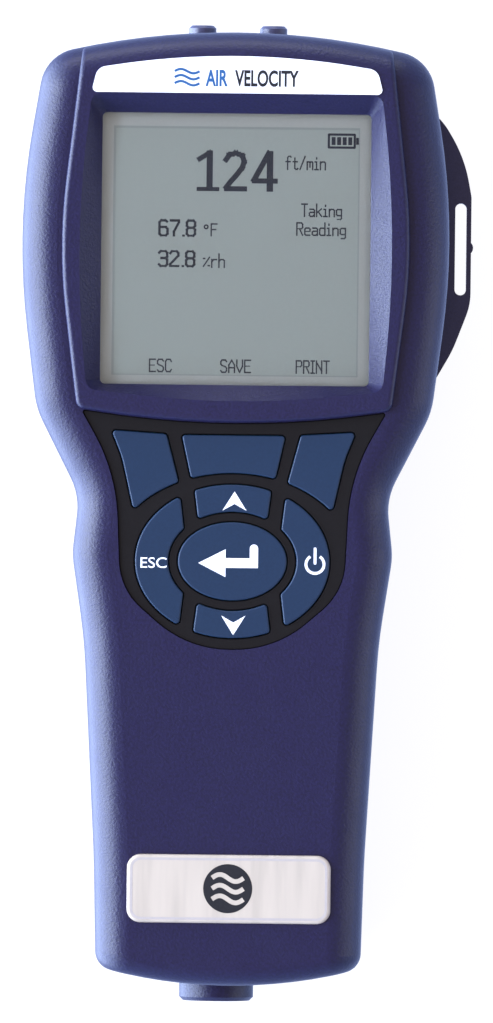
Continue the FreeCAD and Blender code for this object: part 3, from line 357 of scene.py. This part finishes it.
# Strokes of a narrow display face, 5 wide, 12 tall, with a 7 tall lower case.
STROKES = {
    "2": [[(0, 10.5), (1, 12), (4, 12), (5, 10.5), (5, 8.5), (0, 1.5), (0, 0), (5, 0)]],
    "3": [[(0, 10.8), (1, 12), (4, 12), (5, 10.8), (5, 7.7), (4, 6.5), (1.5, 6.5)],
          [(4, 6.5), (5, 5.3), (5, 1.2), (4, 0), (1, 0), (0, 1.2)]],
    "6": [[(4.6, 11), (3.6, 12), (1.2, 12), (0, 10.5), (0, 1.5), (1, 0), (4, 0), (5, 1.5), (5, 5),
           (4, 6.5), (0, 6.5)]],
    "7": [[(0, 12), (5, 12), (5, 10.5), (2, 3), (2, 0)]],
    "8": [[(1, 6.3), (0, 7.8), (0, 10.5), (1, 12), (4, 12), (5, 10.5), (5, 7.8), (4, 6.3), (1, 6.3),
           (0, 4.8), (0, 1.5), (1, 0), (4, 0), (5, 1.5), (5, 4.8), (4, 6.3)]],
    ".": [[(0.9, 0), (1.0, 0)]],
    "/": [[(0, 0), (4.5, 12)]],
    "%": [[(0, 1), (5, 9)], [(0, 8), (1, 8)], [(4, 1.5), (5, 1.5)]],
    "A": [[(0, 0), (0, 7), (2.5, 12), (5, 7), (5, 0)], [(0, 4.5), (5, 4.5)]],
    "C": [[(5, 10), (4, 12), (1, 12), (0, 10), (0, 2), (1, 0), (4, 0), (5, 2)]],
    "E": [[(5, 0), (0, 0), (0, 12), (5, 12)], [(0, 6.3), (4, 6.3)]],
    "F": [[(0, 0), (0, 12), (5, 12)], [(0, 6.3), (4, 6.3)]],
    "I": [[(0, 0), (3, 0)], [(1.5, 0), (1.5, 12)], [(0, 12), (3, 12)]],
    "N": [[(0, 0), (0, 12)], [(0, 11), (5, 2)], [(5, 0), (5, 12)]],
    "P": [[(0, 0), (0, 12), (4, 12), (5, 10.8), (5, 7.5), (4, 6.3), (0, 6.3)]],
    "R": [[(0, 0), (0, 12), (4, 12), (5, 10.8), (5, 7.5), (4, 6.3), (0, 6.3)], [(2.3, 6.3), (5, 0)]],
    "S": [[(5, 10.5), (4, 12), (1, 12), (0, 10.5), (0, 8), (1, 6.8), (4, 5.4), (5, 4.2), (5, 1.5),
           (4, 0), (1, 0), (0, 1.5)]],
    "T": [[(0, 12), (5, 12)], [(2.5, 12), (2.5, 0)]],
    "V": [[(0, 12), (0, 6), (2.5, 0), (5, 6), (5, 12)]],
    "a": [[(0.5, 7), (3.5, 7), (4.5, 6), (4.5, 0)],
          [(4.5, 4), (1, 4), (0, 3), (0, 1), (1, 0), (3, 0), (4.5, 1.5)]],
    "d": [[(4.5, 0), (4.5, 12)], [(4.5, 6), (3.5, 7), (1, 7), (0, 6), (0, 1), (1, 0), (3.5, 0), (4.5, 1)]],
    "e": [[(0, 3.8), (4.5, 3.8), (4.5, 6), (3.5, 7), (1, 7), (0, 6), (0, 1), (1, 0), (4.3, 0)]],
    "f": [[(4.5, 11.3), (3.7, 12), (2.5, 12), (1.5, 11), (1.5, 0)], [(0, 7), (3.7, 7)]],
    "g": [[(4.5, 7), (4.5, -2), (3.5, -3), (1, -3)],
          [(4.5, 6), (3.5, 7), (1, 7), (0, 6), (0, 2), (1, 1), (4.5, 1)]],
    "h": [[(0, 0), (0, 12)], [(0, 5.5), (1.5, 7), (3.5, 7), (4.5, 6), (4.5, 0)]],
    "i": [[(0.2, 7), (1.5, 7), (1.5, 0)], [(0, 0), (3, 0)], [(1.5, 10), (1.5, 11)]],
    "k": [[(0, 0), (0, 12)], [(4.3, 7.3), (0, 3.4)], [(1.4, 4.6), (4.5, 0)]],
    "m": [[(0, 0), (0, 7)], [(0, 6), (1, 7), (2, 7), (2.5, 6), (2.5, 2)],
          [(2.5, 6), (3.5, 7), (4.5, 7), (5, 6), (5, 0)]],
    "n": [[(0, 0), (0, 7)], [(0, 5.5), (1.5, 7), (3.5, 7), (4.5, 6), (4.5, 0)]],
    "r": [[(0, 0), (0, 7)], [(0, 5), (1.5, 7), (4, 7)]],
    "t": [[(1.5, 10.5), (1.5, 1), (2.5, 0), (3.6, 0), (4.3, 0.8)], [(0, 7), (3.7, 7)]],
}
LETTER_GAP = 2.0
LETTER_HEIGHT = 12
LCD_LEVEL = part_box("lcd_panel")[1].z / MM
LCD_INK = 0.04
LCD_FILM = 0.02
DOT_PITCH = 0.11
READING_PITCH = 0.22
DOT_GAP = 0.012


def words_of_strokes(words, left, right, base, rise, width):
    """The strokes of a word, fitted between two x and standing on a base line."""
    cells = []
    reach = 0.0
    for letter in words:
        strokes = STROKES[letter]
        cells.append((reach, strokes))
        reach += max(x for stroke in strokes for x, y in stroke) + LETTER_GAP
    stretch = (right - left - width) / (reach - LETTER_GAP)
    loops = []
    for start, strokes in cells:
        for stroke in strokes:
            line = [(left + width / 2 + (start + x) * stretch,
                     base + width / 2 + y / LETTER_HEIGHT * (rise - width)) for x, y in stroke]
            loops += chain(line, width)
    return loops


def capped(first, last, width):
    """One straight stroke with a square cap at each end."""
    first = Vector(first)
    last = Vector(last)
    along = (last - first).normalized() * width / 2
    side = Vector((-along.y, along.x))
    return [tuple(first - along + side), tuple(first - along - side),
            tuple(last + along - side), tuple(last + along + side)]


def chain(points, width):
    """Straight strokes one after another along a line of points."""
    return [capped(first, last, width) for first, last in zip(points, points[1:])]


def lcd_dots(loops, pitch=DOT_PITCH):
    """Closed bars on the LCD, one for each run of lit dots under the given loops."""
    rows = {}
    for loop in loops:
        y_low = min(y for x, y in loop)
        y_high = max(y for x, y in loop)
        for row in range(math.floor(y_low / pitch), math.ceil(y_high / pitch) + 1):
            middle = (row + 0.5) * pitch
            cuts = []
            for (x_one, y_one), (x_two, y_two) in zip(loop, loop[1:] + loop[:1]):
                if (y_one > middle) != (y_two > middle):
                    cuts.append(x_one + (x_two - x_one) * (middle - y_one) / (y_two - y_one))
            if len(cuts) == 2:
                rows.setdefault(row, []).append(sorted(cuts))
    vertices = []
    faces = []
    for row, spans in rows.items():
        merged = []
        for low, high in sorted(spans):
            if merged and low <= merged[-1][1]:
                merged[-1][1] = max(merged[-1][1], high)
            else:
                merged.append([low, high])
        for low, high in merged:
            start = len(vertices)
            outline = oblong(low, high, row * pitch + DOT_GAP / 2, (row + 1) * pitch - DOT_GAP / 2)
            for z in (LCD_LEVEL, LCD_LEVEL + LCD_INK):
                for x, y in outline:
                    vertices.append((x * MM, y * MM, z * MM))
            faces.append([start + 3, start + 2, start + 1, start])
            faces.append([start + 4, start + 5, start + 6, start + 7])
            for corner in range(4):
                after = (corner + 1) % 4
                faces.append([start + corner, start + after, start + 4 + after, start + 4 + corner])
    mesh = bpy.data.meshes.new("dots")
    mesh.from_pydata(vertices, [], faces)
    mesh.update()
    return mesh


def display_border():
    """The LCD's printed border and the dark line at its inner edge."""
    panel_edge = oblong(-30.0, 30.0, 27.0, 87.5)
    line_edge = oblong(-26.6, 26.6, 29.85, 83.7)
    view_edge = oblong(-26.1, 26.3, 30.1, 83.2)
    add_piece("lcd_border_print", sheet([panel_edge, view_edge], LCD_LEVEL, LCD_FILM), "lcd_border")
    line = sheet([line_edge, view_edge], LCD_LEVEL + LCD_FILM, LCD_FILM)
    add_piece("lcd_border_line", line, "lcd_line")


def display_words():
    """The small words: each from one x to another, on a base line, with a height."""
    thin = 0.3
    bold = 0.52
    small = [
        ("ft/min", 10.5, 19.3, 74.5, 3.1), ("Taking", 14.0, 22.9, 64.4, 2.9),
        ("Reading", 13.0, 23.8, 60.3, 2.9), ("F", -5.5, -4.0, 60.0, 2.8),
        ("%rh", -7.1, -2.3, 53.1, 3.2), ("ESC", -18.5, -13.5, 30.5, 2.9),
        ("SAVE", -3.1, 3.6, 30.5, 2.9), ("PRINT", 13.2, 20.6, 30.5, 2.9),
    ]
    loops = []
    for words, left, right, base, rise in small:
        loops += words_of_strokes(words, left, right, base, rise, thin)
    loops += words_of_strokes("67.8", -16.8, -8.6, 59.8, 3.8, bold)
    loops += words_of_strokes("32.8", -16.8, -8.7, 53.2, 3.7, bold)
    add_piece("lcd_words", lcd_dots(loops), "lcd_ink")


def display_reading():
    """The large reading, whose three digits stand on one base line."""
    base = 69.7
    top = 78.5
    one = chain([(-8.0, 76.7), (-5.9, 78.0)], 1.1)
    one += [oblong(-6.5, -5.15, base, top), oblong(-8.6, -3.7, base, 70.7)]
    two = chain([(-2.3, 76.6), (-1.6, 77.6), (-0.2, 78.0), (1.2, 77.5), (1.6, 76.2), (1.2, 74.9),
                 (0.0, 73.3), (-1.3, 71.8), (-2.2, 70.6)], 1.15)
    two.append(oblong(-2.7, 2.3, base, 70.8))
    four = [oblong(6.5, 7.9, base, top), oblong(3.3, 8.9, 71.6, 72.7)]
    four += chain([(6.9, 78.0), (3.8, 72.3)], 1.2)
    add_piece("lcd_reading", lcd_dots(one + two + four, READING_PITCH), "lcd_ink")


def display_signs():
    """The degree ring and the battery with its four bars."""
    degree = [circle(-6.45, 62.0, radius, count=12) for radius in (0.55, 0.25)]
    add_piece("lcd_degree", sheet(degree, LCD_LEVEL, LCD_INK), "lcd_ink")
    bar_left = 20.45
    bar_right = 21.3
    bar_pitch = 1.2
    battery = [oblong(19.6, 25.7, 79.2, 82.5, 0.3), oblong(20.1, 25.2, 79.7, 82.0)]
    for cell in range(4):
        shift = bar_pitch * cell
        battery.append(oblong(bar_left + shift, bar_right + shift, 80.0, 81.7))
    battery.append(oblong(25.75, 26.4, 80.1, 81.6))
    add_piece("lcd_battery", sheet(battery, LCD_LEVEL, LCD_INK), "lcd_ink")


display_border()
display_words()
display_reading()
display_signs()


# ---------------------------------------------------------------- marks on the keys


KEY_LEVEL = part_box("key_enter")[1].z / MM
KEY_PRINT = 0.03


def key_mark(name, key, loops):
    """A white mark printed on one key."""
    add_piece(name, sheet(loops, KEY_LEVEL, KEY_PRINT), "white_ink", key + "_body")


def key_marks():
    """Arrows, the enter sign, the escape word and the power sign."""
    x = 0.35
    barb = 2.6
    up_foot = 0.75
    down_foot = -21.9
    up = [(x, 4.9), (x - barb, up_foot), (x, 2.2), (x + barb, up_foot)]
    down = [(x, -26.1), (x + barb, down_foot), (x, -23.4), (x - barb, down_foot)]
    key_mark("mark_up", "key_up", [up])
    key_mark("mark_down", "key_down", [down])
    head = -1.45
    shaft_low = -11.6
    shaft_high = -9.5
    riser_middle = 4.65
    riser_top = -7.4
    cap = 0.9
    riser = [(riser_middle + cap, shaft_low), (riser_middle + cap, riser_top)]
    for turn in range(20, 180, 20):
        angle = math.radians(turn)
        riser.append((riser_middle + cap * math.cos(angle), riser_top + cap * math.sin(angle)))
    riser += [(riser_middle - cap, riser_top), (riser_middle - cap, shaft_high)]
    enter = [(-7.35, -10.6), (head, -13.6), (head, shaft_low)] + riser
    enter += [(head, shaft_high), (head, -7.6)]
    key_mark("mark_enter", "key_enter", [enter])
    word = lettering("ESC", (-19.8, -14.15), (-11.8, -9.5), KEY_LEVEL, KEY_PRINT, weight=0.004)
    add_piece("mark_escape", word, "white_ink", "key_escape_body")
    ring_x = 17.85
    ring_y = -10.65
    ring_radius = 1.95
    stroke = 0.6
    ring = []
    for turn in range(32, 329, 8):
        angle = math.radians(turn)
        ring.append((ring_x + ring_radius * math.sin(angle), ring_y + ring_radius * math.cos(angle)))
    bar = oblong(ring_x - stroke / 2, ring_x + stroke / 2, -10.7, -7.0, 0.28)
    key_mark("mark_power", "key_power", [band(ring, stroke), bar])


key_marks()


# ---------------------------------------------------------------- plates


PLATE_PRINT = 0.02
LABEL_PRINT = 0.03


def name_plate_art():
    """Three waves and two plain words on the name plate."""
    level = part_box("name_plate")[1].z / MM
    waves = [ripple(-13.6, -8.2, y, rise=0.45, width=0.55) for y in (92.8, 94.1, 95.4)]
    add_piece("name_waves", sheet(waves, level, PLATE_PRINT), "blue_ink")
    along = (92.2, 95.8)
    weight = 0.03
    first = lettering("AIR", (-6.9, -2.1), along, level, PLATE_PRINT, weight)
    add_piece("name_first", first, "blue_ink")
    second = lettering("VELOCITY", (-0.6, 13.2), along, level, PLATE_PRINT, weight)
    add_piece("name_second", second, "dark_ink")


def badge_art():
    """A thin darker frame of painted rim shade, and a disc with three waves, on the badge."""
    badge_low, badge_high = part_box("badge_plate")
    level = badge_high.z / MM
    rim_shade_loops = []
    for inset, corner in ((0.72, 2.3), (1.25, 1.8)):
        rim_shade_loops.append(oblong(badge_low.x / MM + inset, badge_high.x / MM - inset,
                            badge_low.y / MM + inset, badge_high.y / MM - inset, corner))
    # Painted shade: a darker ring laid just inside the badge's rounded edge.
    add_piece("badge_rim_shade", sheet(rim_shade_loops, level, PLATE_PRINT), "badge_rim_painted_shade")
    disc = [circle(-0.2, -80.8, 5.3)]
    disc += [ripple(-3.6, 3.2, y, rise=0.75, width=1.0) for y in (-83.1, -80.8, -78.5)]
    add_piece("badge_disc", sheet(disc, level, PLATE_PRINT), "dark_ink")


name_plate_art()
badge_art()


def mirrored(mesh):
    """Left and right swapped."""
    mesh.transform(Matrix.Scale(-1, 4, (1, 0, 0)))
    mesh.flip_normals()
    return mesh


def turned_over(mesh, level):
    """A flat print laid face down on a surface of the back, at one height."""
    mesh.transform(Matrix.Scale(-1, 4, (0, 0, 1)))
    mesh.flip_normals()
    lift = level * MM - max(vertex.co.z for vertex in mesh.vertices)
    mesh.transform(Matrix.Translation((0, 0, lift)))
    return mesh


def back_art():
    """The printing on the rating label: a ruled frame and four rows of words."""
    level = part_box("rating_label")[0].z / MM
    rule = 0.3
    lines = [oblong(-20.8, 20.8, 39.2, 68.8, 1.2), oblong(-20.4, 20.4, 39.6, 68.4, 0.9)]
    lines += [oblong(-20.3, 20.3, row, row + rule) for row in (46.4, 61.0)]
    add_piece("label_frame", turned_over(sheet(lines, 0, LABEL_PRINT), level), "dark_ink")
    start = -17.5
    rows = [("6 V DC", 0.5, (63.0, 66.0)), ("4 x AA 1.5 V", 12.0, (55.5, 58.5)),
            ("0 - 50 m/s", 8.5, (49.5, 52.5)), ("No. 000000", 4.5, (41.6, 44.4))]
    for index, (words, end, along) in enumerate(rows):
        row = lettering(words, (start, end), along, 0, LABEL_PRINT, weight=0.012)
        add_piece("label_row_%d" % index, turned_over(mirrored(row), level), "dark_ink")


back_art()


# ---------------------------------------------------------------- stage


def light_table():
    """A plain white floor that glows a little, so the object casts hardly any shadow."""
    table_width = 40.0
    bpy.ops.mesh.primitive_plane_add(size=table_width, location=(0, 0, 0))
    floor = bpy.context.object
    floor.name = "floor"
    pale = Finish("floor_pale", (0.25, 0.25, 0.25), 0.9)
    pale.shader.inputs["Emission Color"].default_value = (1, 1, 1, 1)
    pale.shader.inputs["Emission Strength"].default_value = 0.85
    floor.data.materials.append(pale.material)
    floor.visible_glossy = False
    floor.visible_diffuse = False


def world_ramp(tree, value, stops):
    """A two-colour ramp of the world's light."""
    ramp = tree.nodes.new("ShaderNodeValToRGB")
    tree.links.new(value, ramp.inputs["Fac"])
    for element, (position, colour) in zip(ramp.color_ramp.elements, stops):
        element.position = position
        element.color = (*colour, 1)
    return ramp.outputs["Color"]


def studio_air():
    """A dim room, bluer at the horizon, with a soft bright side; white where it is seen."""
    world = bpy.data.worlds.new("studio_air")
    bpy.context.scene.world = world
    world.use_nodes = True
    tree = world.node_tree
    place = tree.nodes.new("ShaderNodeTexCoord").outputs["Generated"]
    toward = tree.nodes.new("ShaderNodeVectorMath")
    toward.operation = "DOT_PRODUCT"
    bright_side = Vector((-0.98, -0.08, -0.08))
    toward.inputs[1].default_value = bright_side.normalized()
    tree.links.new(place, toward.inputs[0])
    glow = (0.70, 0.87, 1.25)
    side = world_ramp(tree, toward.outputs["Value"], [(0.5, (0, 0, 0)), (0.95, glow)])
    height = tree.nodes.new("ShaderNodeSeparateXYZ")
    tree.links.new(place, height.inputs["Vector"])
    horizon = (0.072, 0.094, 0.165)
    zenith = (0.060, 0.050, 0.045)
    room = world_ramp(tree, height.outputs["Z"], [(0.1, horizon), (0.95, zenith)])
    both = tree.nodes.new("ShaderNodeVectorMath")
    both.operation = "ADD"
    tree.links.new(side, both.inputs[0])
    tree.links.new(room, both.inputs[1])
    light = tree.nodes["Background"]
    tree.links.new(both.outputs["Vector"], light.inputs["Color"])
    light.inputs["Strength"].default_value = 11.5
    paper = tree.nodes.new("ShaderNodeBackground")
    paper.inputs["Color"].default_value = (1, 1, 1, 1)
    seen = tree.nodes.new("ShaderNodeLightPath").outputs["Is Camera Ray"]
    mix = tree.nodes.new("ShaderNodeMixShader")
    tree.links.new(seen, mix.inputs["Fac"])
    tree.links.new(light.outputs["Background"], mix.inputs[1])
    tree.links.new(paper.outputs["Background"], mix.inputs[2])
    tree.links.new(mix.outputs["Shader"], tree.nodes["World Output"].inputs["Surface"])


def lamp(name, place, size, power, colour=(1, 1, 1)):
    """A soft rectangular light aimed at the object."""
    data = bpy.data.lights.new(name, "AREA")
    data.shape = "RECTANGLE"
    data.size, data.size_y = size
    data.energy = power
    data.color = colour
    lamp_object = bpy.data.objects.new(name, data)
    bpy.context.scene.collection.objects.link(lamp_object)
    lamp_object.location = place
    object_middle = Vector((0, 0, 0.03))
    direction = object_middle - Vector(place)
    lamp_object.rotation_euler = direction.to_track_quat("-Z", "Y").to_euler()
    lamp_object.visible_camera = False


def view():
    """The camera straight above, far away and turned a little, as in the photograph."""
    camera_data = bpy.data.cameras.new("camera")
    camera = bpy.data.objects.new("camera", camera_data)
    bpy.context.scene.collection.objects.link(camera)
    bpy.context.scene.camera = camera
    distance = 3.0
    view_height = 0.2215
    focus_height = 0.040
    middle_x = 0.00295
    middle_y = 0.0006
    roll = math.radians(0.64)
    camera_data.sensor_width = 36
    camera_data.lens = camera_data.sensor_width * distance / view_height
    camera.location = (middle_x, middle_y, focus_height + distance)
    camera.rotation_euler = (0, 0, roll)
    bpy.context.scene.view_settings.view_transform = "Standard"


light_table()
studio_air()
lamp("key_light", (-0.9, 0.1, 0.35), (0.5, 0.9), 10, (0.85, 0.92, 1.0))
lamp("far_light", (-0.2, 0.9, 0.2), (0.9, 0.3), 4.0)
lamp("near_light", (0.9, -0.05, 0.3), (0.3, 0.9), 1.6, (1.0, 0.96, 0.88))
view()
